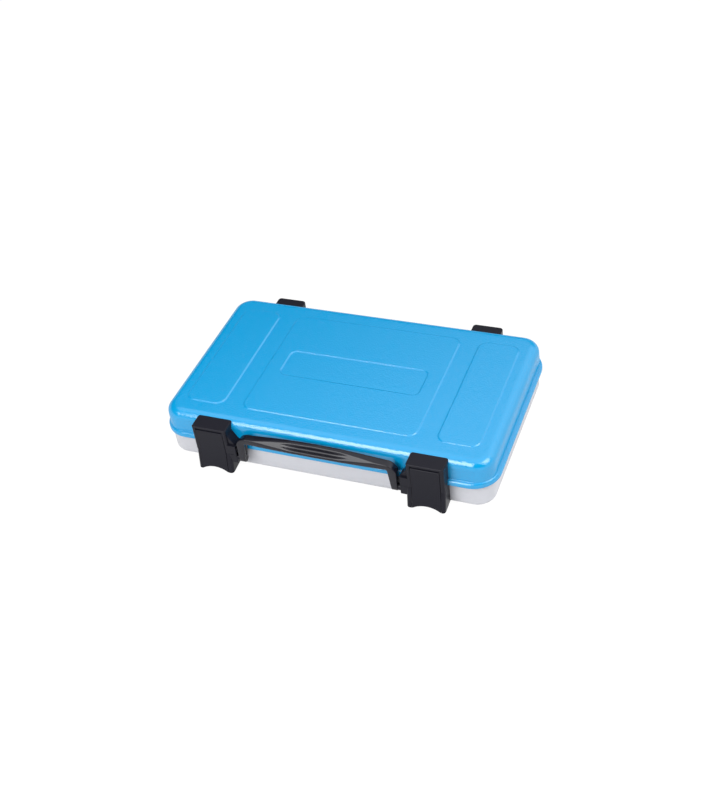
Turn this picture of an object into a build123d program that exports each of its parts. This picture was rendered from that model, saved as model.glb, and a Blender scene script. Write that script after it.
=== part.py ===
# Socket set case: a sheet-steel tray base and a pressed lid on two rear hinges, held shut by two
# snap latches, with a folding carrying handle between them.
# Frame: millimetres, origin at the middle of the base's underside, +Z up, +X along the case,
# the latches and the handle at the front (-Y), the hinges at the back (+Y).

import os
from math import radians, tan

from build123d import *

os.makedirs("parts", exist_ok=True)

# Steel shells
case_half_length = 194.5  # over the lid's turned-out edge
case_half_width = 114.5
sheet = 0.8
lid_edge_z = 30.4  # lower edge of the lid
lid_top_z = 61.8
lid_wall_inset = 3.6  # from the turned-out edge to the wall, measured at the lower edge
lid_draft = 2.0  # degrees
lid_corner_radius = 22.0
lid_top_fillet = 10.5
edge_height = 6.2
edge_corner_radius = 30.0
edge_shoulder_radius = 3.7
below_edge = 1.0  # how far cutting solids run on past the lid's lower edge
rim_clearance = 0.4
rim_top_z = 37.0  # the base's rim stands up inside the lid
base_corner_radius = 20.5
base_bottom_fillet = 6.0

# Pressed panels on top of the lid
panel_rise = 1.0
panel_corner_radius = 11.0
panel_edge_round = 0.7
panel_half_y = 85.0
centre_panel_half_x = 101.6
side_panel_x = (124.2, 170.9)
nameplate_half_x = 83.5
nameplate_half_y = 21.5
nameplate_corner_radius = 8.0

# Tool tray and lid pad
tray_wall = 1.8
tray_top_z = 35.0
tray_draft = 9.0
tray_gap = 0.5
tray_corner_radius = 19.0
row_floor_z = 6.0
socket_rows = ((62.0, 15.0, 11), (20.0, 12.0, 13))  # y of the row, pocket radius, pockets
pocket_pitch = 0.94  # spacing of the pockets over their diameter
trough_width = 0.74  # width of the trough that joins a row's pockets, over their diameter
ratchet_y = -24.0
ratchet_head_radius = 21.0
ratchet_bay_half_width = 14.0
extension_y = -68.0
extension_bay_half_width = 13.0
bay_half_length = 150.0
bay_floor_z = 10.0
pad_half_x = 176.0
pad_half_y = 96.0
pad_corner_radius = 12.0
pad_bottom_z = 49.0
pad_round = 2.0

# Latches
latch_x = 124.0
latch_half_width = 20.6
latch_front_y = -124.5
latch_foot_y = -128.6
latch_top_z = 60.3
latch_cap_back_y = -104.4  # its middle is hidden inside the lid's top fillet before it is cut to fit
latch_cap_back_round = 3.0  # upright back edges of the cap
latch_part_z = 27.2  # where the upper and lower housings meet
latch_part_gap = 0.3
latch_foot_z = 1.5
latch_heel_z = 3.2
latch_edge_round = 2.2
latch_back_plate = 2.4
latch_cap_depth = 8.0  # height of the cap where it meets the lid's top fillet
latch_cap_slope_z = 14.0  # below the cap's top, where its back reaches the wall
top_round = 1.1
wall_seat_gap = 0.6  # the upper fittings stop this far in front of the base wall
cap_thickness = 2.4
flap_half_width = 15.9
flap_side_gap = 0.4
flap_top_z = 55.4
flap_face_y = -124.8
flap_thickness = 3.0
flap_arch_height = 5.0
flap_pin_y = -120.9
flap_pin_z = 53.0
flap_pin_radius = 1.5
flap_barrel_radius = 3.3
flap_lean = 0.3  # the flap's face stands this much further out at its knee
flap_web = (-3.0, 1.0)  # height of the web between plate and barrel, about the pin
flap_pin_half_length = 18.4
running_clearance = 0.06
wing_reach = 29.0  # inner face of the handle wing, from the latch's middle
wing_top_z = 39.6
wing_bottom_z = 16.0
wing_round = 1.0
wing_overlap = 2.0
wing_gusset = (7.8, 12.0)  # width and height of the web between the wing's top and the housing's cheek
foot_round = 3.2  # upright front edges of the lower housing
foot_flare_x = (1.6, 0.0)  # how much wider the lower housing is than the upper, wing side and far side
base_seat = 3.0  # depth that the lower fittings reach behind the base's face before they are cut to fit
catch_z = 20.0
catch_height = 5.0
catch_round = 1.2
catch_gap = 1.4  # between the catch bar and the flap

# Carrying handle
handle_pivot_y = -120.5
handle_pivot_z = 22.0
handle_pin_radius = 2.5
handle_pin_head_radius = 3.6
handle_pin_head = 1.4
handle_pin_seat = 6.0  # depth of the pin in the latch wing
handle_sink_gap = 0.2  # play of the pin's head in its countersink
handle_boss_radius = 3.9  # boss round the pin, between the latch wing and the arm
handle_boss_gap = 0.3
arm_x = (85.2, 92.2)  # at the pivot
arm_spread = 2.6  # how much wider the arm is where it meets the grip
arm_foot_radius = 4.6
foot_edge_round = 2.4
arm_front_y = -125.2
grip_bottom_z = 47.0
grip_back_y = -115.8
grip_corner_radius = 11.6
arm_round = 1.0
corner_depth = 5.5  # how far the corner blocks reach below the grip
# stations along the grip: x, top z, front y, depth of the flat top, height of the front face
grip_stations = (
    (0.0, 57.9, -126.6, 4.6, 2.2),
    (30.0, 57.3, -126.5, 5.0, 2.6),
    (52.0, 55.9, -126.0, 6.8, 4.4),
    (70.0, 54.4, -125.5, 8.9, 6.4),
    (80.0, 53.8, -125.2, 9.0, 6.4),
)

# Hinges
hinge_x = 124.0
hinge_half_width = 17.8
hinge_axis_y = 119.2
hinge_axis_z = 27.2
hinge_knuckle_radius = 4.0
hinge_pin_radius = 1.6
hinge_back_y = 117.6
hinge_heel_z = 4.3
hinge_centre_half = 8.3
hinge_knuckle_gap = 0.4
hinge_leaf_round = 4.0
hinge_leaf_drop = 1.5  # the base leaf's top below the axis level
hinge_web_height = 6.0
hinge_web_depth = 3.0
hinge_neck_depth = 2.4
hinge_neck_trim = 0.8

# Rivets
rivet_radius = 1.6
rivet_head_radius = 3.0
rivet_head_height = 1.1
rivet_pitch = 18.0
upper_rivet_z = 42.0
lower_rivet_z = 11.5
hinge_upper_rivet_z = 46.0
hinge_lower_rivet_z = 13.0

lid_wall_half_x = case_half_length - lid_wall_inset
lid_wall_half_y = case_half_width - lid_wall_inset
lid_draft_at_rim = (rim_top_z - lid_edge_z) * tan(radians(lid_draft))
base_half_x = lid_wall_half_x - sheet - lid_draft_at_rim - rim_clearance
base_half_y = lid_wall_half_y - sheet - lid_draft_at_rim - rim_clearance
sides = (("left", -1), ("right", 1))


def rounded_prism(half_x, half_y, radius, z0, z1, taper=0.0, centre=(0.0, 0.0)):
    """Upright block with rounded corners, drawn in by taper degrees towards z1."""
    outline = Pos(centre[0], centre[1], z0) * RectangleRounded(2 * half_x, 2 * half_y, radius)
    return extrude(outline, amount=z1 - z0, taper=taper)


def block(x, y, z):
    """Plain block between the pairs of limits x, y and z."""
    size = [abs(pair[1] - pair[0]) for pair in (x, y, z)]
    middle = [(pair[1] + pair[0]) / 2 for pair in (x, y, z)]
    return Pos(*middle) * Box(*size)


def rod_x(radius, x0, x1, y, z):
    """Round rod along X."""
    return Pos((x0 + x1) / 2, y, z) * Rot(0, 90, 0) * Cylinder(radius, abs(x1 - x0))


def rod_y(radius, y0, y1, x, z):
    """Round rod along Y."""
    return Pos(x, (y0 + y1) / 2, z) * Rot(90, 0, 0) * Cylinder(radius, abs(y1 - y0))


def rod_z(radius, z0, z1, x, y):
    """Round upright rod."""
    return Pos(x, y, (z0 + z1) / 2) * Cylinder(radius, abs(z1 - z0))


def side_profile(points, x0, x1):
    """Prism along X of an outline given as (y, z) points."""
    wire = Polyline(*[(x0, y, z) for y, z in points], close=True)
    return extrude(make_face(wire), amount=x1 - x0, dir=(1, 0, 0))


def front_profile(points, y0, y1):
    """Prism along Y of an outline given as (x, z) points."""
    wire = Polyline(*[(x, y0, z) for x, z in points], close=True)
    return extrude(make_face(wire), amount=y1 - y0, dir=(0, 1, 0))


def top_edges(solid):
    """Edges round the highest flat face."""
    return solid.faces().sort_by(Axis.Z)[-1].edges()


def bottom_edges(solid):
    """Edges round the lowest flat face."""
    return solid.faces().sort_by(Axis.Z)[0].edges()


def mirrored(solid, side):
    """The right-hand piece as it is, or its mirror image for the left side."""
    return solid if side > 0 else mirror(solid, about=Plane.YZ)


def lid_blank():
    """The lid's outside as one solid, with its turned-out edge and without the panels."""
    body = rounded_prism(
        lid_wall_half_x, lid_wall_half_y, lid_corner_radius, lid_edge_z, lid_top_z, lid_draft
    )
    body = fillet(top_edges(body), lid_top_fillet)
    edge = rounded_prism(
        case_half_length, case_half_width, edge_corner_radius, lid_edge_z, lid_edge_z + edge_height
    )
    return body + fillet(top_edges(edge), edge_shoulder_radius)


def panel_outlines():
    """The three raised panels as (middle x, half length)."""
    side_middle = sum(side_panel_x) / 2
    side_half = (side_panel_x[1] - side_panel_x[0]) / 2
    return ((-side_middle, side_half), (0.0, centre_panel_half_x), (side_middle, side_half))


def make_lid_shell(blank):
    """Pressed lid: drawn walls, three raised panels, a sunk nameplate and a turned-out edge."""
    lid = blank
    inner_floor = lid_edge_z - below_edge
    for middle, half in panel_outlines():
        panel = rounded_prism(
            half,
            panel_half_y,
            panel_corner_radius,
            lid_top_z - sheet,
            lid_top_z + panel_rise,
            0,
            (middle, 0),
        )
        lid += fillet(top_edges(panel), panel_edge_round)
    lid -= rounded_prism(
        nameplate_half_x, nameplate_half_y, nameplate_corner_radius, lid_top_z, lid_top_z + 2 * panel_rise
    )
    grow = (lid_edge_z - inner_floor) * tan(radians(lid_draft))
    hollow = rounded_prism(
        lid_wall_half_x - sheet + grow,
        lid_wall_half_y - sheet + grow,
        lid_corner_radius - sheet + grow,
        inner_floor,
        lid_top_z - sheet,
        lid_draft,
    )
    hollow = fillet(top_edges(hollow), lid_top_fillet - sheet)
    panel_backs = []
    for middle, half in panel_outlines():
        panel_backs.append(
            rounded_prism(
                half - sheet,
                panel_half_y - sheet,
                panel_corner_radius - sheet,
                lid_top_z - 2 * sheet,
                lid_top_z + panel_rise - sheet,
                0,
                (middle, 0),
            )
        )
    nameplate_back = rounded_prism(
        nameplate_half_x + sheet,
        nameplate_half_y + sheet,
        nameplate_corner_radius + sheet,
        lid_top_z - sheet,
        lid_top_z + panel_rise,
    )
    panel_backs[1] -= nameplate_back
    lid -= hollow
    for back in panel_backs:
        lid -= back
    channel = rounded_prism(
        case_half_length - sheet,
        case_half_width - sheet,
        edge_corner_radius - sheet,
        inner_floor,
        lid_edge_z + edge_height - sheet,
    )
    channel = fillet(top_edges(channel), edge_shoulder_radius - sheet)
    wall = rounded_prism(
        lid_wall_half_x + grow,
        lid_wall_half_y + grow,
        lid_corner_radius + grow,
        inner_floor,
        lid_top_z,
        lid_draft,
    )
    lid -= channel - wall
    for side in (-1, 1):
        for x in rivet_places(side * latch_x):
            lid -= rod_y(rivet_radius, -case_half_width, -case_half_width + 12, x, upper_rivet_z)
        for x in rivet_places(side * hinge_x):
            lid -= rod_y(rivet_radius, case_half_width, case_half_width - 12, x, hinge_upper_rivet_z)
    return lid


def rivet_places(middle):
    """x of the two rivets of a fitting."""
    return (middle - rivet_pitch / 2, middle + rivet_pitch / 2)


def base_blank():
    """The base's outside as one solid."""
    body = rounded_prism(base_half_x, base_half_y, base_corner_radius, 0, rim_top_z)
    return fillet(bottom_edges(body), base_bottom_fillet)


def make_base_shell(blank):
    """Drawn steel tray with a plain rim that stands inside the lid."""
    hollow = rounded_prism(
        base_half_x - sheet, base_half_y - sheet, base_corner_radius - sheet, sheet, rim_top_z + 1
    )
    base = blank - fillet(bottom_edges(hollow), base_bottom_fillet - sheet)
    for side in (-1, 1):
        for x in rivet_places(side * latch_x):
            base -= rod_y(rivet_radius, -base_half_y - 2, -base_half_y + 4, x, lower_rivet_z)
        for x in rivet_places(side * hinge_x):
            base -= rod_y(rivet_radius, base_half_y + 2, base_half_y - 4, x, hinge_lower_rivet_z)
    return base


def tray_bays(grow):
    """Every pocket of the tray, grown outwards by the given wall, as one solid per bay."""
    bays = []
    bay_top = tray_top_z + 5
    for row_y, radius, count in socket_rows:
        pitch = 2 * radius * pocket_pitch
        half_row = (count - 1) / 2 * pitch
        floor = row_floor_z - grow
        half_trough = radius * trough_width + grow
        row = block((-half_row, half_row), (row_y - half_trough, row_y + half_trough), (floor, bay_top))
        for i in range(count):
            row += rod_z(radius + grow, floor, bay_top, i * pitch - half_row, row_y)
        bays.append(row)
    floor = bay_floor_z - grow
    for y, half_width in ((ratchet_y, ratchet_bay_half_width), (extension_y, extension_bay_half_width)):
        width = half_width + grow
        bay = rounded_prism(bay_half_length + grow, width, width - 0.5, floor, bay_top, 0, (0, y))
        if y == ratchet_y:
            head_x = bay_half_length - ratchet_head_radius
            bay += rod_z(ratchet_head_radius + grow, floor, bay_top, head_x, y)
        bays.append(bay)
    return bays


def make_tool_tray():
    """Moulded tray: a thin top with pockets for the sockets, ratchet and extension bars."""
    half_x = base_half_x - sheet - tray_gap
    half_y = base_half_y - sheet - tray_gap

    def skirted(inset, bottom, top):
        drop = tray_top_z - bottom
        shrink = drop * tan(radians(tray_draft))
        return rounded_prism(
            half_x - inset - shrink,
            half_y - inset - shrink,
            tray_corner_radius - inset - shrink,
            bottom,
            top,
            -tray_draft,
        )

    tray = skirted(0, sheet, tray_top_z)
    hollow = skirted(tray_wall, sheet - 0.5, tray_top_z - tray_wall)
    for bay in tray_bays(tray_wall):
        hollow -= bay
    tray -= hollow
    for bay in tray_bays(0):
        tray -= bay
    return tray


def make_lid_pad():
    """Foam sheet glued under the lid that keeps the tools in their pockets."""
    pad = rounded_prism(pad_half_x, pad_half_y, pad_corner_radius, pad_bottom_z, lid_top_z - sheet)
    return fillet(bottom_edges(pad), pad_round)


def flap_slot(z0, z1):
    """Space between a housing's cheeks and in front of its back plate."""
    half = flap_half_width + flap_side_gap
    back = -lid_wall_half_y - latch_back_plate
    return block((latch_x - half, latch_x + half), (back, latch_foot_y - 5), (z0, z1))


def make_upper_housing(lid_solid):
    """Right-hand latch housing on the lid: cap, cheeks, back plate and the upper half of the wing."""
    bottom = latch_part_z + latch_part_gap / 2
    outline = [
        (latch_cap_back_y, latch_top_z),
        (latch_front_y, latch_top_z),
        (latch_front_y, bottom),
        (-base_half_y - wall_seat_gap, bottom),
        (-base_half_y - wall_seat_gap, latch_top_z - latch_cap_slope_z),
        (latch_cap_back_y, latch_top_z - latch_cap_depth),
    ]
    x0 = latch_x - latch_half_width
    x1 = latch_x + latch_half_width
    housing = side_profile(outline, x0, x1)
    upright = housing.edges().filter_by(Axis.Z).sort_by(Axis.Y)
    housing = fillet(upright[:2], latch_edge_round)
    upright = housing.edges().filter_by(Axis.Z).sort_by(Axis.Y)
    housing = fillet(upright[-2:], latch_cap_back_round)
    housing = fillet(top_edges(housing), top_round)
    wing = block(
        (latch_x - wing_reach, x0 + wing_overlap),
        (latch_front_y, -base_half_y - wall_seat_gap),
        (bottom, wing_top_z),
    )
    wing_front = wing.edges().filter_by(Axis.Z).group_by(Axis.X)[0].sort_by(Axis.Y)[:1]
    housing += fillet(wing_front, wing_round)
    reach, rise = wing_gusset
    gusset = [
        (x0 - reach, wing_top_z - wing_overlap),
        (x0 - reach, wing_top_z),
        (x0, wing_top_z + rise),
        (x0 + wing_overlap, wing_top_z + rise),
        (x0 + wing_overlap, wing_top_z - wing_overlap),
    ]
    housing += front_profile(gusset, latch_front_y + latch_edge_round, -base_half_y - wall_seat_gap)
    housing -= lid_solid
    housing -= flap_slot(0, latch_top_z - cap_thickness)
    housing -= make_flap_pin()
    for x in rivet_places(latch_x):
        housing -= rod_y(rivet_radius, latch_front_y, -base_half_y, x, upper_rivet_z)
    return housing


def lower_front(z):
    """y of the lower housing's flared front at height z."""
    rise = (z - latch_foot_z) / (latch_part_z - latch_foot_z)
    return latch_foot_y + (latch_front_y - latch_foot_y) * rise


def make_lower_housing(base_solid):
    """Right-hand latch housing on the base: cheeks, catch bar and the wing that carries the handle."""
    top = latch_part_z - latch_part_gap / 2
    back = -base_half_y + base_seat
    outline = [
        (back, top),
        (lower_front(top), top),
        (latch_foot_y, latch_foot_z),
        (-base_half_y, latch_heel_z),
        (back, latch_heel_z),
    ]
    x0 = latch_x - latch_half_width - foot_flare_x[0]
    x1 = latch_x + latch_half_width + foot_flare_x[1]
    housing = side_profile(outline, x0, x1)
    upright = [
        e for e in housing.edges() if abs((e @ 0).X - (e @ 1).X) < 0.01 and (e @ 0.5).Y < latch_front_y
    ]
    housing = fillet(upright, foot_round)
    wing_x = latch_x - wing_reach
    wing = block((wing_x, x0 + wing_overlap), (latch_front_y, back), (wing_bottom_z, top))
    wing_edges = [e for e in wing.edges().filter_by(Axis.Z) if (e @ 0).X < x0 and (e @ 0).Y < back - 1]
    housing += fillet(wing_edges, wing_round)
    housing -= flap_slot(0, top + 1)
    catch_back = -lid_wall_half_y - latch_back_plate + 1
    bar = block(
        (latch_x - flap_half_width - 1, latch_x + flap_half_width + 1),
        (catch_back, lower_front(catch_z) + flap_thickness + catch_gap),
        (catch_z, catch_z + catch_height),
    )
    housing += fillet(bar.edges().filter_by(Axis.X).sort_by(Axis.Y)[:2], catch_round)
    housing -= base_solid
    boss_face = arm_x[1] + handle_boss_gap
    housing += rod_x(handle_boss_radius, boss_face, wing_x + wing_overlap, handle_pivot_y, handle_pivot_z)
    housing -= rod_x(
        handle_pin_radius, boss_face - 1, wing_x + handle_pin_seat, handle_pivot_y, handle_pivot_z
    )
    for x in rivet_places(latch_x):
        housing -= rod_y(rivet_radius, latch_foot_y, -base_half_y + 1, x, lower_rivet_z)
    return housing


def make_flap():
    """Right-hand latch flap: a plate that hangs on the pin, flared at its foot, with a finger arch."""
    x0 = latch_x - flap_half_width
    x1 = latch_x + flap_half_width
    knee = latch_part_z
    foot_y = latch_foot_y - flap_lean
    knee_y = flap_face_y - flap_lean
    front = [(flap_face_y, flap_top_z), (knee_y, knee), (foot_y, latch_foot_z)]
    behind = [(foot_y + flap_thickness, latch_foot_z), (knee_y + flap_thickness, knee)]
    outline = front + behind + [(flap_face_y + flap_thickness, flap_top_z)]
    plate = side_profile(outline, x0, x1)
    top_front = plate.edges().filter_by(Axis.X).group_by(Axis.Z)[-1].sort_by(Axis.Y)[0]
    plate = fillet(top_front, top_round)
    arch_radius = (flap_half_width**2 + flap_arch_height**2) / (2 * flap_arch_height)
    arch_z = latch_foot_z + flap_arch_height - arch_radius
    plate -= rod_y(arch_radius, latch_foot_y - 10, latch_foot_y + 20, latch_x, arch_z)
    barrel = rod_x(flap_barrel_radius, x0, x1, flap_pin_y, flap_pin_z)
    web_z = (flap_pin_z + flap_web[0], flap_pin_z + flap_web[1])
    web = block((x0, x1), (flap_face_y + 1, flap_pin_y), web_z)
    flap = plate + web + barrel
    flap -= rod_x(flap_pin_radius + running_clearance, x0 - 1, x1 + 1, flap_pin_y, flap_pin_z)
    return flap


def make_flap_pin():
    """Steel pin that the flap turns on."""
    ends = (latch_x - flap_pin_half_length, latch_x + flap_pin_half_length)
    return rod_x(flap_pin_radius, *ends, flap_pin_y, flap_pin_z)


def grip_section(x, top, front, flat, face):
    """Five-cornered section of the grip: flat top, sloping palm face, upright front face."""
    points = [
        (x, grip_back_y, grip_bottom_z),
        (x, grip_back_y, top),
        (x, grip_back_y - flat, top),
        (x, front, grip_bottom_z + face),
        (x, front, grip_bottom_z),
    ]
    return make_face(Polyline(*points, close=True))


def arm_inner_x(z):
    """Inner face of the arm at height z: it slants towards the middle up to the grip."""
    return arm_x[0] - arm_spread * (z - handle_pivot_z) / (grip_bottom_z - handle_pivot_z)


def make_handle():
    """Carrying handle: a bowed grip with a sloping fluted face and two arms down to the pivots."""
    rows = [(-x, *rest) for x, *rest in reversed(grip_stations[1:])] + list(grip_stations)
    grip = loft([grip_section(*row) for row in rows])
    outer = arm_x[1]
    end_top = grip_stations[-1][1]
    arm_top = grip_bottom_z
    for side in (-1, 1):
        inner = grip_stations[-1][0]
        corner = block((inner, outer), (arm_front_y, grip_back_y), (arm_top - corner_depth, end_top))
        round_edge = [
            e for e in corner.edges().filter_by(Axis.Y) if (e @ 0).X > inner + 1 and (e @ 0).Z > arm_top
        ]
        corner = fillet(round_edge, grip_corner_radius)
        arm_back = handle_pivot_y + arm_foot_radius
        arm_outline = [
            (arm_x[0], handle_pivot_z),
            (outer, handle_pivot_z),
            (outer, arm_top - corner_depth + 1),
            (arm_inner_x(arm_top - corner_depth + 1), arm_top - corner_depth + 1),
        ]
        arm = front_profile(arm_outline, arm_front_y, arm_back)
        upright = [e for e in arm.edges() if abs((e @ 0).Z - (e @ 1).Z) > 1]
        arm = fillet(ShapeList(upright).group_by(Axis.Y)[0], arm_round)
        low = arm_top - corner_depth - 1
        throat_outline = [
            (inner - 1, low),
            (arm_inner_x(low), low),
            (arm_inner_x(arm_top), arm_top),
            (inner - 1, arm_top),
        ]
        corner -= front_profile(throat_outline, arm_front_y - 1, grip_back_y + 1)
        foot = rod_x(arm_foot_radius, arm_x[0], outer, handle_pivot_y, handle_pivot_z)
        foot = fillet(foot.edges().sort_by(Axis.X)[-1], foot_edge_round)
        limb = corner + arm + foot
        bore = handle_pin_radius + running_clearance
        sink = handle_pin_head_radius + running_clearance
        sink_floor = arm_x[0] + handle_pin_head + handle_sink_gap
        limb -= rod_x(bore, arm_x[0] - 1, outer + 1, handle_pivot_y, handle_pivot_z)
        limb -= rod_x(sink, arm_x[0] - 1, sink_floor, handle_pivot_y, handle_pivot_z)
        grip += mirrored(limb, side)
    return grip


def make_handle_pin():
    """Right-hand steel pin, headed inside the arm and fast in the latch wing."""
    wing_x = latch_x - wing_reach
    shank_end = wing_x + handle_pin_seat
    head_end = arm_x[0] + handle_pin_head
    shank = rod_x(handle_pin_radius, head_end - 0.5, shank_end, handle_pivot_y, handle_pivot_z)
    head = rod_x(handle_pin_head_radius, arm_x[0], head_end, handle_pivot_y, handle_pivot_z)
    return shank + head


def make_hinge_leaves(lid_solid, base_solid):
    """Right-hand hinge: the leaf on the lid with one knuckle, and the leaf on the base with two."""
    x0 = hinge_x - hinge_half_width
    x1 = hinge_x + hinge_half_width
    centre = (hinge_x - hinge_centre_half, hinge_x + hinge_centre_half)
    leaf_foot = hinge_axis_z + hinge_knuckle_radius + hinge_knuckle_gap
    upper_outline = [
        (-latch_cap_back_y, latch_top_z),
        (hinge_back_y, latch_top_z),
        (hinge_back_y, leaf_foot),
        (base_half_y + wall_seat_gap, leaf_foot),
        (base_half_y + wall_seat_gap, latch_top_z - latch_cap_slope_z),
        (-latch_cap_back_y, latch_top_z - latch_cap_depth),
    ]
    upper = side_profile(upper_outline, x0, x1)
    upper = fillet(upper.edges().filter_by(Axis.Z).sort_by(Axis.Y)[-2:], hinge_leaf_round)
    upper = fillet(top_edges(upper), top_round)
    upper -= lid_solid
    outer_y = hinge_axis_y + hinge_knuckle_radius
    neck_y = (hinge_back_y - hinge_neck_depth, outer_y - hinge_neck_trim)
    neck = block(centre, neck_y, (hinge_axis_z, leaf_foot + 1))
    upper += neck + rod_x(hinge_knuckle_radius, *centre, hinge_axis_y, hinge_axis_z)
    upper -= rod_x(hinge_pin_radius + running_clearance, x0, x1, hinge_axis_y, hinge_axis_z)

    lower_top = hinge_axis_z - hinge_leaf_drop
    lower = block((x0, x1), (base_half_y - base_seat, hinge_back_y), (hinge_heel_z, lower_top))
    lower = fillet(lower.edges().filter_by(Axis.Z).sort_by(Axis.Y)[-2:], hinge_leaf_round)
    ends = ((x0, centre[0] - hinge_knuckle_gap), (centre[1] + hinge_knuckle_gap, x1))
    lower -= rod_x(
        hinge_knuckle_radius + hinge_knuckle_gap,
        centre[0] - hinge_knuckle_gap,
        centre[1] + hinge_knuckle_gap,
        hinge_axis_y,
        hinge_axis_z,
    )
    for span in ends:
        web_z = (lower_top - hinge_web_height, hinge_axis_z)
        web = block(span, (hinge_back_y - hinge_web_depth, outer_y), web_z)
        lower += web + rod_x(hinge_knuckle_radius, *span, hinge_axis_y, hinge_axis_z)
    lower -= base_solid
    lower -= rod_x(hinge_pin_radius, x0 - 1, x1 + 1, hinge_axis_y, hinge_axis_z)
    for x in rivet_places(hinge_x):
        upper -= rod_y(rivet_radius, base_half_y, hinge_back_y + 1, x, hinge_upper_rivet_z)
        lower -= rod_y(rivet_radius, base_half_y - 1, hinge_back_y + 1, x, hinge_lower_rivet_z)
    return upper, lower


def make_hinge_pin():
    """Steel pin through the knuckles of one hinge."""
    return rod_x(
        hinge_pin_radius, hinge_x - hinge_half_width, hinge_x + hinge_half_width, hinge_axis_y, hinge_axis_z
    )


def make_rivet(x, z, outer_y, inner_y):
    """Rivet along Y with a low domed head at each end, between two faces."""
    out = 1 if outer_y > inner_y else -1
    rivet = rod_y(rivet_radius, outer_y, inner_y, x, z)
    dome_radius = (rivet_head_radius**2 + rivet_head_height**2) / (2 * rivet_head_height)
    reach = 2 * rivet_head_radius
    for face, way in ((outer_y, out), (inner_y, -out)):
        ball = Pos(x, face + way * (rivet_head_height - dome_radius), z) * Sphere(dome_radius)
        beyond = (face, face + way * reach)
        rivet += ball & block((x - reach, x + reach), beyond, (z - reach, z + reach))
    return rivet


def make_rivets(middle, z, outer_y, inner_y):
    """The four equal rivets of both left and right fittings, as separate solids."""
    rivets = [make_rivet(x, z, outer_y, inner_y) for side in (-1, 1) for x in rivet_places(side * middle)]
    return Compound(children=rivets)


def lid_rivet_seat(z):
    """y where a rivet head at height z rests on the lid's slanting inner wall."""
    return lid_wall_half_y - sheet - (z + rivet_head_radius - lid_edge_z) * tan(radians(lid_draft))


def save(name, solid):
    """Write one node."""
    export_step(solid, f"parts/{name}.step")


def main():
    lid_solid = lid_blank()
    base_solid = base_blank()
    save("lid_shell", make_lid_shell(lid_solid))
    save("base_shell", make_base_shell(base_solid))
    save("tool_tray", make_tool_tray())
    save("lid_pad", make_lid_pad())
    save("handle", make_handle())

    upper_leaf, lower_leaf = make_hinge_leaves(lid_solid, base_solid)
    handed = {
        "latch_upper_housing": make_upper_housing(lid_solid),
        "latch_lower_housing": make_lower_housing(base_solid),
        "latch_flap": make_flap(),
        "latch_pin": make_flap_pin(),
        "handle_pin": make_handle_pin(),
        "hinge_lid_leaf": upper_leaf,
        "hinge_base_leaf": lower_leaf,
        "hinge_pin": make_hinge_pin(),
    }
    for name, solid in handed.items():
        for word, side in sides:
            save(f"{word}_{name}", mirrored(solid, side))

    plate_y = -lid_wall_half_y - latch_back_plate
    latch_seat_y = -lid_rivet_seat(upper_rivet_z)
    hinge_seat_y = lid_rivet_seat(hinge_upper_rivet_z)
    groups = (
        ("latch_lid_rivets", latch_x, upper_rivet_z, plate_y, latch_seat_y),
        ("latch_base_rivets", latch_x, lower_rivet_z, plate_y, -base_half_y + sheet),
        ("hinge_lid_rivets", hinge_x, hinge_upper_rivet_z, hinge_back_y, hinge_seat_y),
        ("hinge_base_rivets", hinge_x, hinge_lower_rivet_z, hinge_back_y, base_half_y - sheet),
    )
    for name, *places in groups:
        save(name, make_rivets(*places))


main()
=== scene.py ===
"""Looks of a sheet-steel socket set case: a painted pressed lid and base, moulded plastic latches,
a moulded carrying handle, a moulded tool tray and a foam pad under the lid."""

import bmesh
import bpy
import numpy as np
from mathutils import Matrix, Vector
from mathutils.geometry import tessellate_polygon


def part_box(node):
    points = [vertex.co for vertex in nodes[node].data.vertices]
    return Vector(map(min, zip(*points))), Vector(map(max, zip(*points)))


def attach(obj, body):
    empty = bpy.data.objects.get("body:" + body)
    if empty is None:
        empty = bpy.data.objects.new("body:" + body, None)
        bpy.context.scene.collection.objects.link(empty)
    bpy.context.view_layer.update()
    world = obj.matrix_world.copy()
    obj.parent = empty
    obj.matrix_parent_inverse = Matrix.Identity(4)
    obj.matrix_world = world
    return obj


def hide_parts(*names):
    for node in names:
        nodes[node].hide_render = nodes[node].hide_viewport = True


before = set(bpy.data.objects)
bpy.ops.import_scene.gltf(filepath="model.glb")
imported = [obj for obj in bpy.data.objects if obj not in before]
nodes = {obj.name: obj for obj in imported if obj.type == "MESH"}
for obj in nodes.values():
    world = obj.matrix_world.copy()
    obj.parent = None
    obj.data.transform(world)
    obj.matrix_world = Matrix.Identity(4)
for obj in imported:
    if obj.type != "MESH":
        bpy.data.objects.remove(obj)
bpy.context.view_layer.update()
MM = 0.001  # every size below is in millimetres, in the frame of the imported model, unless it says metres


def node_box(name):
    """Lowest and highest corner of a node, in millimetres."""
    return [np.array(corner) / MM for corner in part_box(name)]


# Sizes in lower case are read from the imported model, and sizes in upper case are set here

lid_low, lid_high = node_box("lid_shell")
base_high = node_box("base_shell")[1]
pad_low, pad_high = node_box("lid_pad")

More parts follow.
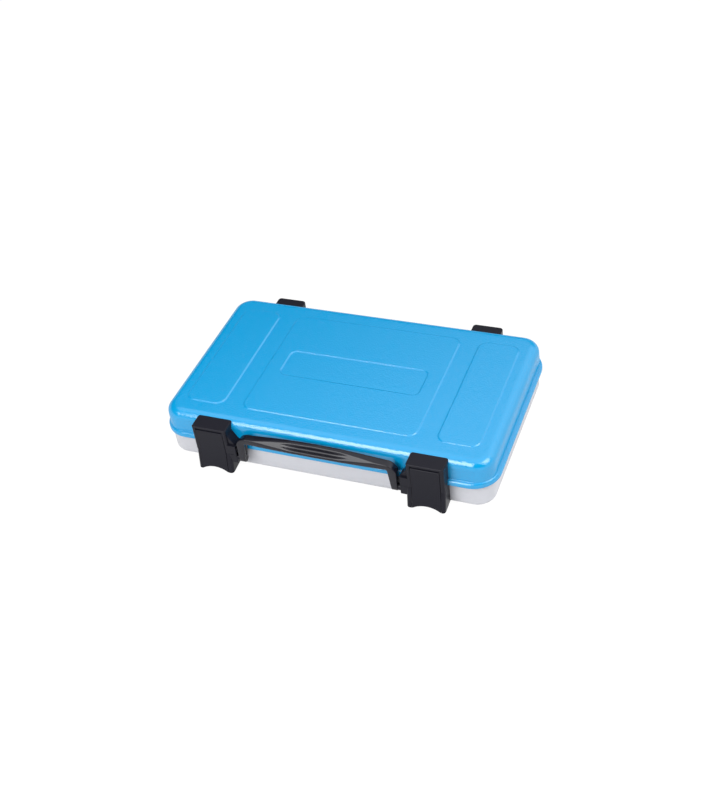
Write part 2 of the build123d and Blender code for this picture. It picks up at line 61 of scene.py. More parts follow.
# Lid
SHEET = 0.8  # of the lid and the base
PANEL_RISE = 1.0
edge_half_x, edge_half_y = lid_high[0], lid_high[1]
lid_edge_z = lid_low[2]
lid_top_z = lid_high[2] - PANEL_RISE
WALL_INSET = 3.6
WALL_CORNER = 25.6  # from the case's outline to the centre of the wall's corner arc
EDGE_CORNER = 30.0
DRAFT = np.radians(2.0)
TOP_ROUND = 10.5
EDGE_HEIGHT = 6.2
SHOULDER_ROUND = 3.7
ROOT_ROUND = 0.8  # hollow between the wall and the turned-out edge
STEP_WIDTH = 2.5  # width of the slope at each pressed edge
STEP_RINGS = 17
PANEL_ROUND = 11.0
PANEL_HALF_Y = 85.0
CENTRE_PANEL_HALF_X = 101.6
SIDE_PANEL_HALF_X = 23.35
SIDE_PANEL_X = 147.55
NAMEPLATE_HALF = (83.5, 21.5)
NAMEPLATE_ROUND = 8.0

# Base
BASE_CORNER = 20.5
BASE_ROUND = 6.0

# Handle
ARM_INNER_X = (85.2, 82.6)  # at the pivot and at the grip
ARM_OUTER_X = 92.2
ARM_FRONT, ARM_BACK = -125.2, -115.9
ARM_CHAMFER = 0.5  # what is left of the palm's slope on the arm
PIVOT_Y, PIVOT_Z = -120.5, 22.0
FOOT_RADIUS = 4.6
FOOT_TURN = np.radians(86)  # the round foot ends in a narrow flat
GRIP_Z = 47.0
GRIP_X = (0.0, 30.0, 52.0, 70.0, 80.6)  # stations along the grip
GRIP_TOP = (10.9, 10.3, 8.9, 7.4, 6.8)  # height of the grip over its straight underside
GRIP_FRONT = (-126.6, -126.5, -126.0, -125.5, -125.2)
GRIP_FLAT = (4.6, 5.0, 6.8, 8.8, 8.8)  # depth of the flat top
GRIP_FACE = (2.2, 2.6, 4.4, 6.3, 6.3)  # height of the upright front below the palm face
GRIP_BACK = -115.8
INNER_ROUND = 2.0
CORNER_POWER = 3.4  # how late in its turn the corner takes on the arm's form
GRIP_RINGS, CORNER_RINGS, ARM_RINGS, FOOT_RINGS = 64, 16, 13, 9
SECTION_ROUND = 0.9
SECTION_STEPS = 5  # points round each corner of the section
LARGEST_CUT = 0.45  # of the section's shorter side, at a rounded corner
PALM_POINTS = 96
FLUTE_REACH = 40.0  # from the grip's middle to the end of its grooves
FLUTE_DEPTH = 2.1
FLUTE_POWER = 0.6
FLUTE_FADE = 1.6  # above 1, the grooves keep their full depth for longer and end more steeply

# Cuts in each arm: radius, start and end past the arm's inner face, height over the pivot, and how
# many times taller than wide
PIN_BORE = (2.5, -2.0, 9.0, 0.0, 1.0)
HEAD_SINK = (3.66, -2.0, 1.6, 0.0, 1.0)
ARM_RECESS = (1.3, -4.0, 0.4, 12.5, 5.0)
CUT_STEPS = 32

# Moulded fittings
MOULDED_ROUND = {
    "latch_upper_housing": 0.8,
    "latch_lower_housing": 0.7,
    "latch_flap": 0.5,
    "hinge_lid_leaf": 0.5,
    "hinge_base_leaf": 0.5,
    "tool_tray": 0.6,
}
MOULDING_MERGE = 2e-6  # metres
FLAT_ANGLE = np.radians(0.6)  # neighbouring faces that turn less than this are one flat face
SHARP_ANGLE = np.radians(32)  # edges that turn more than this are rounded
EDGE_SEGMENTS = 3

# Foam pad
PAD_CORNER = 12.0
PAD_EDGE = 2.4
PAD_CROWN = 0.8
PAD_CORE = 16.0  # half the size of the flat middle
PAD_POWER = 2.6  # of the superellipse at the pad's edge
PAD_FACE_RINGS, PAD_EDGE_RINGS = 9, 9

# Points of a ring, and how close two points are merged
ARC_STEPS = 14  # at each corner
SIDE_STEPS = 6  # along each straight side
SURFACE_MERGE = 1e-6  # metres


def smooth(t):
    """Smooth step: 3t^2 - 2t^3 of t held between 0 and 1."""
    t = np.clip(t, 0, 1)
    return t * t * (3 - 2 * t)


def compass(azimuth, elevation):
    """Unit vector towards an azimuth (0 is +Y, 90 is +X) and an elevation, in degrees."""
    a, e = np.radians(azimuth), np.radians(elevation)
    return Vector((np.sin(a) * np.cos(e), np.cos(a) * np.cos(e), np.sin(e)))


def rings(half_x, half_y, radius, z):
    """Rounded rectangles, one for each entry of the four arrays, as an array of rows of points.
    An arc point is the corner's centre plus radius times (cos a, sin a), and a side's points divide
    the straight between two arcs evenly."""
    half_x, half_y, radius, z = np.broadcast_arrays(*map(np.atleast_1d, (half_x, half_y, radius, z)))
    quarter = np.arange(4)[None, :, None]
    angle = quarter * np.pi / 2 + np.linspace(0, np.pi / 2, ARC_STEPS + 1)[None, None, :]
    sign_x = np.array([1, -1, -1, 1])[None, :, None]
    sign_y = np.array([1, 1, -1, -1])[None, :, None]
    r = radius[:, None, None]
    x = sign_x * (half_x[:, None, None] - r) + r * np.cos(angle)
    y = sign_y * (half_y[:, None, None] - r) + r * np.sin(angle)
    share = (np.arange(1, SIDE_STEPS) / SIDE_STEPS)[None, None, :]
    side_x = x[:, :, -1:] * (1 - share) + np.roll(x, -1, 1)[:, :, :1] * share
    side_y = y[:, :, -1:] * (1 - share) + np.roll(y, -1, 1)[:, :, :1] * share
    x = np.concatenate([x, side_x], 2).reshape(len(half_x), -1)
    y = np.concatenate([y, side_y], 2).reshape(len(half_x), -1)
    return np.stack([x, y, np.broadcast_to(z[:, None], x.shape)], -1)


def arc(centre, radius, start, end, steps):
    """Points (x, z) of an arc about a centre, from one angle to another, in degrees."""
    angle = np.radians(np.linspace(start, end, steps + 1))
    return np.stack([centre[0] + radius * np.cos(angle), centre[1] + radius * np.sin(angle)], 1)


def grid_faces(rows, columns, start):
    """Quads between neighbouring rows of a grid whose columns close into rings. Its first point has
    the index start."""
    i, j = np.meshgrid(np.arange(rows - 1), np.arange(columns), indexing="ij")
    beside = (j + 1) % columns
    corners = (i * columns + j, (i + 1) * columns + j, (i + 1) * columns + beside, i * columns + beside)
    return np.stack(corners, -1).reshape(-1, 4) + start


class Surface:
    """Points and faces of one piece, gathered patch by patch."""

    def __init__(self):
        self.points = np.zeros((0, 3))
        self.faces = []

    def add_rings(self, patch):
        """Add a grid of rings and return the indices of its first and last ring."""
        start = len(self.points)
        rows, columns = patch.shape[:2]
        self.points = np.vstack([self.points, patch.reshape(-1, 3)])
        self.faces += grid_faces(rows, columns, start).tolist()
        return start + np.arange(columns), start + (rows - 1) * columns + np.arange(columns)

    def fill(self, *loops):
        """Close the flat face inside the first loop and outside the others."""
        if len(loops) == 1:
            self.faces.append(loops[0].tolist())
            return
        order = np.concatenate(loops)
        triangles = tessellate_polygon([list(map(Vector, self.points[loop])) for loop in loops])
        self.faces += order[np.array(triangles)].tolist()

    def piece(self, name):
        """Make the mesh object, in metres, with its faces pointing outwards."""
        mesh = bpy.data.meshes.new(name)
        mesh.from_pydata((self.points * MM).tolist(), [], self.faces)
        return tidied(new_object(name, mesh))


def new_object(name, data):
    """Link a mesh, lamp or camera into the scene as an object at the origin."""
    obj = bpy.data.objects.new(name, data)
    bpy.context.scene.collection.objects.link(obj)
    return obj


def tidied(obj):
    """Merge doubles, point every face outwards and shade the mesh smooth."""
    work = bmesh.new()
    work.from_mesh(obj.data)
    bmesh.ops.remove_doubles(work, verts=work.verts, dist=SURFACE_MERGE)
    bmesh.ops.recalc_face_normals(work, faces=work.faces)
    work.to_mesh(obj.data)
    work.free()
    obj.data.shade_smooth()
    return obj


def weigh_normals(obj):
    """Let large flat faces decide the shading at their borders."""
    weighted = obj.modifiers.new("flat faces stay flat", "WEIGHTED_NORMAL")
    weighted.weight = 60  # of 100, towards the larger faces
    return obj


def dress(obj, body, slot, material, *replaced):
    """Give a new piece its body and material, and hide the nodes that it stands for. slot is not used."""
    obj.data.materials.clear()
    obj.data.materials.append(material)
    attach(obj, body)
    if replaced:
        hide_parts(*replaced)
    return obj


# Shader nodes


def linear(code):
    """An sRGB hex colour as linear red, green, blue and full alpha."""
    value = np.array([int(code[i : i + 2], 16) for i in (1, 3, 5)]) / 255
    low = value / 12.92
    high = ((value + 0.055) / 1.055) ** 2.4
    return (*np.where(value <= 0.04045, low, high), 1.0)


WHITE = linear("#ffffff")


def add(tree, kind, *inputs, **settings):
    """Add a node with its first inputs in their order, then its named inputs and properties.
    An input takes a value or another node's output, and an underscore in its name is a space."""
    node = tree.nodes.new(kind)
    for place, value in enumerate(inputs):
        connect(tree, node.inputs[place], value)
    for name, value in settings.items():
        label = name.replace("_", " ")
        if label in node.inputs:
            connect(tree, node.inputs[label], value)
        else:
            setattr(node, name, value)
    return node


def connect(tree, socket, value):
    """Link an output to a socket, or set the socket's value."""
    if isinstance(value, bpy.types.NodeSocket):
        tree.links.new(value, socket)
    else:
        socket.default_value = value


def empty_tree(owner):
    """Node tree of a material or world, with nothing in it."""
    owner.use_nodes = True
    owner.node_tree.nodes.clear()
    return owner.node_tree


# Camera and light

CAMERA_PLACE = (460.6, -955.1, 926.8)
CAMERA_AZIMUTH, CAMERA_ELEVATION = 153.85, 40.45  # back along the line of sight, in degrees
CAMERA_ROLL = -8.39  # degrees
CAMERA_SENSOR = 36.0  # along the picture's longer side
CAMERA_LENS = 54.735
CAMERA_CLIP = (0.05, 50.0)  # metres

ROOM_LEVEL = 0.03
# Broad soft lights: where the middle is, how far round it the light reaches and half the width of
# its soft edge, in degrees, and its level
GLOWS = (
    {"azimuth": 35.0, "elevation": 74.0, "reach": 43.8, "soft": 3.0, "level": 1.3},
    {"azimuth": 68.0, "elevation": 8.0, "reach": 50.0, "soft": 9.0, "level": 0.5},
    {"azimuth": 44.0, "elevation": 12.0, "reach": 14.0, "soft": 10.0, "level": 1.0},
    {"azimuth": -143.0, "elevation": 42.0, "reach": 15.0, "soft": 8.0, "level": 1.4},
)
BACKDROP_FULL, BACKDROP_END = 6.0, 15.0  # elevations between which its reflection fades, in degrees

FLOOR_REACH = 12.0  # metres from the origin to each side
FLOOR_PAPER = "#e7e7e7"
FLOOR_GLOW = 1.05
FLOOR_GLOW_SHARE = 0.92  # the rest is the lit paper, which carries the shadow


def make_camera():
    """Camera at the photograph's viewing angle."""
    data = bpy.data.cameras.new("camera")
    data.lens = CAMERA_LENS
    data.sensor_width = CAMERA_SENSOR
    data.clip_start, data.clip_end = CAMERA_CLIP
    camera = new_object("camera", data)
    level = compass(CAMERA_AZIMUTH, CAMERA_ELEVATION).to_track_quat("Z", "Y").to_matrix().to_4x4()
    roll = Matrix.Rotation(np.radians(CAMERA_ROLL), 4, "Z")
    camera.matrix_world = Matrix.Translation(Vector(CAMERA_PLACE) * MM) @ level @ roll
    bpy.context.scene.camera = camera


def softbox(name, azimuth, elevation, distance, size, radiance):
    """Area light that faces the origin from a direction in degrees and a distance in metres.
    Its power is radiance times pi times its area."""
    towards = compass(azimuth, elevation)
    data = bpy.data.lights.new(name, "AREA")
    data.shape = "RECTANGLE"
    data.size, data.size_y = size
    data.energy = radiance * np.pi * size[0] * size[1]
    light = new_object(name, data)
    light.location = towards * distance
    light.rotation_euler = towards.to_track_quat("Z", "Y").to_euler()


def room_light(tree, direction):
    """Level of the dim room with its glows: one overhead, a pale wall to the right with a lamp's glow
    on it, and another at the front left. Each is a smooth step of the cosine of the angle from its
    middle."""
    total = ROOM_LEVEL
    for glow in GLOWS:
        middle = compass(glow["azimuth"], glow["elevation"])
        near = add(tree, "ShaderNodeVectorMath", direction, middle, operation="DOT_PRODUCT")
        outer, inner = np.cos(np.radians([glow["reach"] + glow["soft"], glow["reach"] - glow["soft"]]))
        fade = add(
            tree, "ShaderNodeMapRange", interpolation_type="SMOOTHSTEP", Value=near.outputs["Value"],
            From_Min=outer, From_Max=inner, To_Max=glow["level"],
        )
        total = add(tree, "ShaderNodeMath", total, fade.outputs[0], operation="ADD").outputs[0]
    return total


def white_share(tree, direction):
    """Share of the white backdrop: all of it to the camera and through clear things, and in
    reflections only its low part, which fades out above the horizon."""
    height = add(tree, "ShaderNodeSeparateXYZ", direction)
    full, end = np.sin(np.radians([BACKDROP_FULL, BACKDROP_END]))
    low = add(
        tree, "ShaderNodeMapRange", interpolation_type="SMOOTHSTEP", Value=height.outputs["Z"],
        From_Min=end, From_Max=full,
    )
    ray = add(tree, "ShaderNodeLightPath")
    share = add(tree, "ShaderNodeMath", ray.outputs["Is Glossy Ray"], low.outputs[0], operation="MULTIPLY")
    for other in ("Is Camera Ray", "Is Transmission Ray"):
        share = add(tree, "ShaderNodeMath", share.outputs[0], ray.outputs[other], operation="MAXIMUM")
    return share.outputs[0]


def make_world():
    """Studio: the room's light, with the white backdrop over it where a ray sees that."""
    world = bpy.data.worlds.new("studio")
    bpy.context.scene.world = world
    tree = empty_tree(world)
    direction = add(tree, "ShaderNodeTexCoord").outputs["Generated"]
    white = white_share(tree, direction)
    rest = add(tree, "ShaderNodeMath", 1.0, white, operation="SUBTRACT").outputs[0]
    light = add(tree, "ShaderNodeMath", room_light(tree, direction), rest, white, operation="MULTIPLY_ADD")
    shade = add(tree, "ShaderNodeBackground", Color=WHITE, Strength=light.outputs[0])
    add(tree, "ShaderNodeOutputWorld", Surface=shade.outputs[0])


def make_floor():
    """Pale floor that shows white to the camera, in reflections and through clear things, and keeps
    a soft shadow."""
    mesh = bpy.data.meshes.new("floor")
    corners = [(x * FLOOR_REACH, y * FLOOR_REACH, 0) for x, y in ((-1, -1), (1, -1), (1, 1), (-1, 1))]
    mesh.from_pydata(corners, [], [(0, 1, 2, 3)])
    floor = new_object("floor", mesh)
    material = bpy.data.materials.new("white paper sweep")
    tree = empty_tree(material)
    paper = add(tree, "ShaderNodeBsdfDiffuse", Color=linear(FLOOR_PAPER))
    glow = add(tree, "ShaderNodeEmission", Color=WHITE, Strength=FLOOR_GLOW)
    ray = add(tree, "ShaderNodeLightPath")
    seen = ray.outputs["Is Camera Ray"]
    for other in ("Is Glossy Ray", "Is Transmission Ray"):
        seen = add(tree, "ShaderNodeMath", seen, ray.outputs[other], operation="MAXIMUM").outputs[0]
    share = add(tree, "ShaderNodeMath", seen, FLOOR_GLOW_SHARE, operation="MULTIPLY")
    mix = add(tree, "ShaderNodeMixShader", share.outputs[0], paper.outputs[0], glow.outputs[0])
    add(tree, "ShaderNodeOutputMaterial", Surface=mix.outputs[0])
    mesh.materials.append(material)


# Materials

BROAD_SIZE = 60.0  # size of the patches in which a finish is duller or glossier
PEEL_SIZE, PEEL_DEPTH = 6.0, 0.05  # orange peel of a powder coat


def finish(name, base, fleck, roughness, drift, grain, depth, cells=False, **shader_values):
    """Opaque finish with a fine surface texture.
    grain is the size of the texture's bumps in millimetres, and depth their height. The texture is a
    noise, or with cells a pebbled field of soft cells on a broader orange peel. fleck is a second
    colour that the same noise mixes in. drift is how far a broad noise moves the roughness either
    way."""
    material = bpy.data.materials.new(name)
    tree = empty_tree(material)
    where = add(tree, "ShaderNodeTexCoord").outputs["Object"]
    shader = add(tree, "ShaderNodeBsdfPrincipled", **shader_values)
    fine = add(tree, "ShaderNodeTexNoise", Vector=where, Scale=1 / (grain * MM), Detail=3.0, Roughness=0.6)
    broad = add(tree, "ShaderNodeTexNoise", Vector=where, Scale=1 / (BROAD_SIZE * MM), Detail=2.0)
    # A colour mix has its two colours in sockets 6 and 7 and gives the result in output 2
    colour = add(tree, "ShaderNodeMix", data_type="RGBA", Factor=fine.outputs["Fac"])
    colour.inputs[6].default_value = linear(base)
    colour.inputs[7].default_value = linear(fleck)
    connect(tree, shader.inputs["Base Color"], colour.outputs[2])
    spread = add(
        tree, "ShaderNodeMapRange", Value=broad.outputs["Fac"],
        To_Min=roughness - drift, To_Max=roughness + drift,
    )
    connect(tree, shader.inputs["Roughness"], spread.outputs[0])
    height = fine.outputs["Fac"]
    if cells:
        pebbles = add(tree, "ShaderNodeTexVoronoi", feature="SMOOTH_F1", Vector=where, Scale=1 / (grain * MM))
        pebble = pebbles.outputs["Distance"]
        peel = add(tree, "ShaderNodeTexNoise", Vector=where, Scale=1 / (PEEL_SIZE * MM), Detail=2.0)
        wave, lift = peel.outputs["Fac"], PEEL_DEPTH / depth
        height = add(tree, "ShaderNodeMath", wave, lift, pebble, operation="MULTIPLY_ADD").outputs[0]
    bump = add(tree, "ShaderNodeBump", Height=height, Strength=1.0, Distance=depth * MM)
    connect(tree, shader.inputs["Normal"], bump.outputs[0])
    if "Coat_Weight" in shader_values:
        connect(tree, shader.inputs["Coat Normal"], bump.outputs[0])
    add(tree, "ShaderNodeOutputMaterial", Surface=shader.outputs[0])
    return material


# Powder coat on steel, cured with a fine leather-like skin that breaks a highlight into sparkle, under
# the clear gloss that such a coat forms at its surface. The skin is drawn a little coarser than the
# real one, so that it shows. The gloss has a higher IOR than a resin's 1.5, to match the photo's sheen
lid_paint = finish(
    "sky blue powder coat", base="#008bc2", fleck="#0691c7", roughness=0.32, drift=0.04, grain=1.4,
    depth=0.15, cells=True, Specular_IOR_Level=0.0, Coat_Weight=0.6, Coat_Roughness=0.13, Coat_IOR=2.0,
)
# Wet paint on steel, which dries smoother and duller than the lid's coat: a soft silver grey
base_paint = finish(
    "silver grey enamel", base="#b8b9bf", fleck="#bdbec4", roughness=0.42, drift=0.05, grain=1.1, depth=0.015
)
# Polypropylene moulded in a finely eroded tool, which leaves it a satin black with little gloss
latch_plastic = finish(
    "black polypropylene", base="#15151d", fleck="#191922", roughness=0.3, drift=0.05, grain=0.5, depth=0.012,
    Specular_IOR_Level=0.15,
)
# Glass-filled nylon polished by the hand, so that the lands of the grip catch a soft gloss
handle_plastic = finish(
    "black polyamide", base="#0e0e18", fleck="#12121d", roughness=0.24, drift=0.04, grain=0.6, depth=0.010,
    Specular_IOR_Level=0.36,
)
# High-impact polystyrene, moulded: dull black with a light grain
tray_plastic = finish(
    "black polystyrene", base="#161618", fleck="#1d1d20", roughness=0.46, drift=0.05, grain=0.8, depth=0.02
)
# Closed-cell polyethylene foam: cells of about a millimetre on a dull skin
pad_foam = finish(
    "charcoal foam", base="#1b1b1e", fleck="#29292d", roughness=0.92, drift=0.04, grain=1.2, depth=0.18
)
# Steel plated with zinc, a pale grey metal with a slight haze
pin_steel = finish(
    "zinc plated steel", base="#b9bbc0", fleck="#c9cacd", roughness=0.34, drift=0.06, grain=0.7, depth=0.006,
    Metallic=1.0,
)
# Steel pin blackened in an oxide bath and oiled: nearly black, with the gloss of the oil
pin_black = finish(
    "black oxide steel", base="#17171a", fleck="#1d1d20", roughness=0.38, drift=0.05, grain=0.7, depth=0.006
)


# Lid


def lid_section():
    """Closed section of the lid from its outer flat to its inner flat, as (x, z, corner centre).
    It runs over the top round, down the wall, through a hollow, out and down over the turned-out edge,
    round the hem, back up inside the channel, down the wall's outside to its foot and up its inside.
    The corner's centre moves from the wall's to the edge's as x goes from the wall to the edge."""
    wall_x = edge_half_x - WALL_INSET

    def wall_at(z):
        return wall_x - (z - lid_edge_z) * np.tan(DRAFT)

    lean = np.degrees(DRAFT)
    round_z = lid_top_z - TOP_ROUND
    round_centre = (wall_at(round_z) - TOP_ROUND / np.cos(DRAFT), round_z)
    outer = arc(round_centre, TOP_ROUND, 90, lean, steps=12)
    inner = arc(round_centre, TOP_ROUND - SHEET, lean, 90, steps=12)

    # The hollow's centre is as far from the shoulder's as both radii together
    shelf_z = lid_edge_z + EDGE_HEIGHT
    shoulder = np.array([edge_half_x - SHOULDER_ROUND, shelf_z - SHOULDER_ROUND])
    aside = wall_at(shelf_z) + ROOT_ROUND - shoulder[0]
    rise = np.sqrt((SHOULDER_ROUND + ROOT_ROUND) ** 2 - aside**2)
    meeting = np.degrees(np.arctan2(rise, aside))
    root = arc(shoulder + (aside, rise), ROOT_ROUND, 180, 180 + meeting, steps=5)
    over = arc(shoulder, SHOULDER_ROUND, meeting, 0, steps=10)[1:]

    half_sheet = SHEET / 2
    hem = arc((edge_half_x - half_sheet, lid_edge_z + half_sheet), half_sheet, 0, -180, steps=6)
    under = arc(shoulder, SHOULDER_ROUND - SHEET, 0, 90, steps=6)
    inner_root = np.array([(wall_at(shelf_z - SHEET), shelf_z - SHEET)])
    foot = arc((wall_at(lid_edge_z) - half_sheet, lid_edge_z + half_sheet), half_sheet, 0, -180, steps=6)
    x, z = np.vstack([outer, root, over, hem, under, inner_root, foot, inner]).T
    centres = (edge_half_x - WALL_CORNER, edge_half_x - EDGE_CORNER)
    return x, z, np.interp(x, (wall_x, edge_half_x), centres)


def pressed_step(surface, centre_x, half_x, half_y, radius, low, high):
    """Sloping band round a pressed panel: rings that move inwards across the slope's width while
    their height follows the smooth step of a smooth step from low to high. Returns its outer and
    inner ring."""
    t = np.linspace(0, 1, STEP_RINGS)
    move = STEP_WIDTH * (0.5 - t)
    patch = rings(half_x + move, half_y + move, radius + move, low + (high - low) * smooth(smooth(t)))
    patch[..., 0] += centre_x
    return surface.add_rings(patch)


def pressed_top(surface, border, level):
    """The lid's top at one level: three raised panels, and a nameplate sunk in the middle one."""
    raised = level + PANEL_RISE
    outer_rings = []
    for side in (-1, 1):
        outline = (side * SIDE_PANEL_X, SIDE_PANEL_HALF_X, PANEL_HALF_Y, PANEL_ROUND)
        outer, inner = pressed_step(surface, *outline, level, raised)
        outer_rings.append(outer)
        surface.fill(inner)
    outer, inner = pressed_step(surface, 0, CENTRE_PANEL_HALF_X, PANEL_HALF_Y, PANEL_ROUND, level, raised)
    outer_rings.append(outer)
    plate_outer, plate_inner = pressed_step(surface, 0, *NAMEPLATE_HALF, NAMEPLATE_ROUND, raised, level)
    surface.fill(inner, plate_outer)
    surface.fill(plate_inner)
    surface.fill(border, *outer_rings)


def make_lid():
    """Pressed steel lid as one closed skin."""
    x, z, centre = lid_section()
    surface = Surface()
    shell = rings(x, x - (edge_half_x - edge_half_y), x - centre, z)
    outer_border, inner_border = surface.add_rings(shell)
    pressed_top(surface, outer_border, lid_top_z)
    pressed_top(surface, inner_border, lid_top_z - SHEET)
    lid = weigh_normals(surface.piece("pressed_lid"))
    return dress(lid, "lid", "lid_paint", lid_paint, "lid_shell")


# Base


def make_base():
    """Drawn steel base as one closed skin: rounded bottom, plain wall and a rounded rim."""
    half_x, half_y, rim_z = base_high
    centre = half_x - BASE_CORNER
    bottom = (half_x - BASE_ROUND, BASE_ROUND)
    outer = arc(bottom, BASE_ROUND, -90, 0, steps=8)
    rim = arc((half_x - SHEET / 2, rim_z - SHEET / 2), SHEET / 2, 0, 180, steps=6)
    inner = arc(bottom, BASE_ROUND - SHEET, 0, -90, steps=8)
    x, z = np.vstack([outer, rim, inner]).T
    surface = Surface()
    under, floor = surface.add_rings(rings(x, x - (half_x - half_y), x - centre, z))
    surface.fill(under)
    surface.fill(floor)
    base = weigh_normals(surface.piece("drawn_base"))
    return dress(base, "base", "base_paint", base_paint, "base_shell")


# Handle


def rounded_section(corners):
    """Closed outlines with rounded corners, one for each row of corner points.
    A corner is the quadratic curve from a point on one side to a point on the next, both as far from
    the corner as the section's round, or the largest cut of the shorter side if that is less, with
    the corner as its middle control point."""
    before, after = np.roll(corners, 1, 1) - corners, np.roll(corners, -1, 1) - corners
    reach_before = np.linalg.norm(before, axis=2, keepdims=True)
    reach_after = np.linalg.norm(after, axis=2, keepdims=True)
    cut = np.minimum(SECTION_ROUND, LARGEST_CUT * np.minimum(reach_before, reach_after))
    start = (corners + before / reach_before * cut)[:, :, None]
    end = (corners + after / reach_after * cut)[:, :, None]
    u = np.linspace(0, 1, SECTION_STEPS)[None, None, :, None]
    return (1 - u) ** 2 * start + 2 * u * (1 - u) * corners[:, :, None] + u**2 * end


def handle_path():
    """Half of the handle's inner edge from the middle of the grip to the foot, as
    (x, z, outward x, outward z, share of the foot's half depth, share of the arm's form).
    The corner is a quarter circle, and the arm leans from the grip out to the pivot."""
    corner_x, corner_z = ARM_INNER_X[1] - INNER_ROUND, GRIP_Z - INNER_ROUND
    run = np.linspace(0, corner_x, GRIP_RINGS)
    zero, one = np.zeros_like(run), np.ones_like(run)
    grip = (run, one * GRIP_Z, zero, one, one, zero)

    share = np.linspace(0, 1, CORNER_RINGS + 1)[1:]
    sin, cos = np.sin(share * np.pi / 2), np.cos(share * np.pi / 2)
    corner_edge = (corner_x + INNER_ROUND * sin, corner_z + INNER_ROUND * cos)
    corner = (*corner_edge, sin, cos, np.ones_like(share), share**CORNER_POWER)

    drop = np.linspace(corner_z, PIVOT_Z, ARM_RINGS + 1)[1:]
    zero, one = np.zeros_like(drop), np.ones_like(drop)
    arm = (np.interp(drop, (PIVOT_Z, corner_z), ARM_INNER_X), drop, one, zero, one, one)

    swing = np.linspace(0, FOOT_TURN, FOOT_RINGS + 1)[1:]
    zero, one = np.zeros_like(swing), np.ones_like(swing)
    foot = (one * ARM_INNER_X[0], PIVOT_Z - FOOT_RADIUS * np.sin(swing), one, zero, np.cos(swing), one)
    return np.hstack([grip, corner, arm, foot]).T


def handle_corners(path):
    """Five corners of the handle's section at each point of the path, as (out, depth): rear and front
    on the inner edge, the flat top's two ends, and the foot of the palm face. Their places are read
    along the grip from its stations, and pass into the arm's as its share grows."""
    away, share, arm = np.abs(path[:, 0]), path[:, 4], path[:, 5]
    stations = (GRIP_TOP, GRIP_FRONT, GRIP_FLAT, GRIP_FACE)
    top, front, flat, face = [np.interp(away, GRIP_X, values) for values in stations]
    top = top * (1 - arm) + (ARM_OUTER_X - away) * arm
    front = front * (1 - arm) + ARM_FRONT * arm
    rear = GRIP_BACK * (1 - arm) + ARM_BACK * arm
    flat = (flat * (1 - arm) + (rear - front - ARM_CHAMFER) * arm) * share
    face = face * (1 - arm) + (top - ARM_CHAMFER) * arm
    front = PIVOT_Y + (front - PIVOT_Y) * share
    rear = PIVOT_Y + (rear - PIVOT_Y) * share
    zero = np.zeros_like(top)
    corners = [(zero, rear), (top, rear), (top, rear - flat), (face, front), (zero, front)]
    return np.stack([np.stack(corner, 1) for corner in corners], 1)


def fluted_palm(begin, end, away):
    """Points across the palm face at each point of the path, with two grooves between round lands.
    A point sinks by the depth times 1 - |cos(2 pi w)|^FLUTE_POWER for the way w across, and the sink
    fades with the smooth step towards the grooves' ends."""
    way = np.linspace(0, 1, PALM_POINTS + 2)[None, 1:-1, None]
    slope = end - begin
    inward = np.stack([slope[:, 1], -slope[:, 0]], 1) / np.linalg.norm(slope, axis=1, keepdims=True)
    fade = smooth((1 - away / FLUTE_REACH) * FLUTE_FADE)[:, None, None]
    sink = FLUTE_DEPTH * fade * (1 - np.abs(np.cos(2 * np.pi * way)) ** FLUTE_POWER)
    return begin[:, None] * (1 - way) + end[:, None] * way + inward[:, None] * sink


def make_handle():
    """Carrying handle: a five-cornered section with a grooved palm face, carried along the U-shaped
    inner edge from foot to foot."""
    half = handle_path()
    path = np.vstack([half[::-1] * (-1, 1, -1, 1, 1, 1), half[1:]])
    outline = rounded_section(handle_corners(path))
    palm = fluted_palm(outline[:, 2, -1], outline[:, 3, 0], np.abs(path[:, 0]))
    section = np.concatenate([*(outline[:, i] for i in range(3)), palm, outline[:, 3], outline[:, 4]], 1)
    out, depth = section[..., 0], section[..., 1]
    x = path[:, 0, None] + path[:, 2, None] * out
    z = path[:, 1, None] + path[:, 3, None] * out
    surface = Surface()
    first, last = surface.add_rings(np.stack([x, depth, z], -1))
    surface.fill(first)
    surface.fill(last)
    handle = surface.piece("carrying_handle")
    for side in (-1, 1):
        for cut in (PIN_BORE, HEAD_SINK, ARM_RECESS):
            cut_away(handle, arm_cutter(side, *cut))
    return dress(handle, "handle", "handle_plastic", handle_plastic, "handle")


def arm_cutter(side, radius, near, far, rise, stretch):
    """Round or tall oval bar along X that cuts into one arm: radius times (cos a, stretch sin a)
    about its axis."""
    angle = np.arange(CUT_STEPS) * 2 * np.pi / CUT_STEPS
    y = PIVOT_Y + radius * np.cos(angle)
    z = PIVOT_Z + rise + radius * np.sin(angle) * stretch
    ends = [side * (ARM_INNER_X[0] + reach) for reach in (near, far)]
    surface = Surface()
    first, last = surface.add_rings(np.stack([np.stack([np.full_like(y, x), y, z], -1) for x in ends]))
    surface.fill(first)
    surface.fill(last)
    return surface.piece("cutter")


def cut_away(obj, cutter):
    """Subtract one closed mesh from another and remove the cutter."""
    cut = obj.modifiers.new("cut", "BOOLEAN")
    cut.object = cutter
    cut.operation = "DIFFERENCE"
    cut.solver = "EXACT"
    bpy.context.view_layer.update()
    graph = bpy.context.evaluated_depsgraph_get()
    result = bpy.data.meshes.new_from_object(obj.evaluated_get(graph))
    obj.modifiers.remove(cut)
    obj.data = result
    obj.data.shade_smooth()
    bpy.data.objects.remove(cutter)


# Moulded fittings


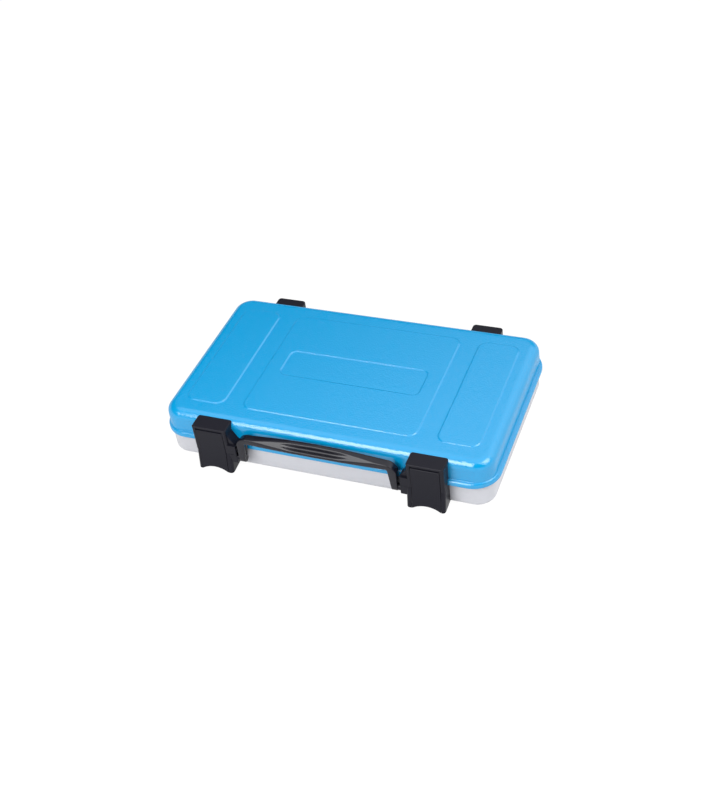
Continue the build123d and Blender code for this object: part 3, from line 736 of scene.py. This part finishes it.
def eased(node, radius):
    """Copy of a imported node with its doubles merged, its flat faces rejoined and its edges rounded."""
    obj = new_object(f"{node}_moulding", nodes[node].data.copy())
    work = bmesh.new()
    work.from_mesh(obj.data)
    bmesh.ops.remove_doubles(work, verts=work.verts, dist=MOULDING_MERGE)
    bmesh.ops.dissolve_limit(work, angle_limit=FLAT_ANGLE, verts=work.verts, edges=work.edges)
    work.to_mesh(obj.data)
    work.free()
    obj.data.shade_smooth()
    bevel = obj.modifiers.new("rounded edges", "BEVEL")
    bevel.width = radius * MM
    bevel.segments = EDGE_SEGMENTS
    bevel.limit_method = "ANGLE"
    bevel.angle_limit = SHARP_ANGLE
    bevel.use_clamp_overlap = True
    return weigh_normals(obj)


def make_fittings():
    """Latches and hinges of both sides, and the tool tray."""
    for side in ("left", "right"):
        plan = (
            ("latch_upper_housing", "lid", "black_plastic"),
            ("latch_lower_housing", "base", "black_plastic"),
            ("hinge_lid_leaf", "lid", "black_plastic"),
            ("hinge_base_leaf", "base", "black_plastic"),
            ("latch_flap", f"{side}_flap", "black_plastic_flap"),
        )
        for kind, body, slot in plan:
            node = f"{side}_{kind}"
            dress(eased(node, MOULDED_ROUND[kind]), body, slot, latch_plastic, node)
    tray = eased("tool_tray", MOULDED_ROUND["tool_tray"])
    dress(tray, "base", "tray_plastic", tray_plastic, "tool_tray")


def finish_metal():
    """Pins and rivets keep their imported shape: plated steel, and blackened steel in the handle."""
    for name, obj in nodes.items():
        if name.endswith(("_pin", "_rivets")):
            obj.data.materials.clear()
            obj.data.materials.append(pin_black if name.endswith("_handle_pin") else pin_steel)


# Foam pad


def make_pad():
    """Foam sheet: rings of a rounded rectangle that follow a soft edge, a quarter of a
    superellipse, with a slight crown on the face that presses on the tools."""
    half_x, half_y = pad_high[0], pad_high[1]
    face_z = pad_low[2] + PAD_CROWN
    inwards = np.linspace(1, 0, PAD_FACE_RINGS + 1)[:-1]
    turn = np.linspace(0, np.pi / 2, PAD_EDGE_RINGS)
    cut = PAD_EDGE * (1 - np.sin(turn) ** (2 / PAD_POWER))
    rise = PAD_EDGE * (1 - np.cos(turn) ** (2 / PAD_POWER))
    x, y = [
        np.concatenate([half - PAD_EDGE - inwards * (half - PAD_EDGE - PAD_CORE), half - cut, [half]])
        for half in (half_x, half_y)
    ]
    z = np.concatenate([face_z - PAD_CROWN * smooth(inwards), face_z + rise, [pad_high[2]]])
    surface = Surface()
    first, last = surface.add_rings(rings(x, y, PAD_CORNER, z))
    surface.fill(first)
    surface.fill(last)
    pad = dress(surface.piece("foam_pad"), "lid", "pad_foam", pad_foam, "lid_pad")


make_camera()
make_world()
make_floor()
softbox("front softbox", azimuth=194, elevation=37, distance=1.25, size=(0.74, 0.76), radiance=6.9)
softbox("front right softbox", azimuth=97, elevation=42, distance=1.25, size=(0.7, 0.7), radiance=4.3)
make_lid()
make_base()
make_handle()
make_fittings()
finish_metal()
make_pad()

bpy.context.scene.view_settings.view_transform = "Standard"
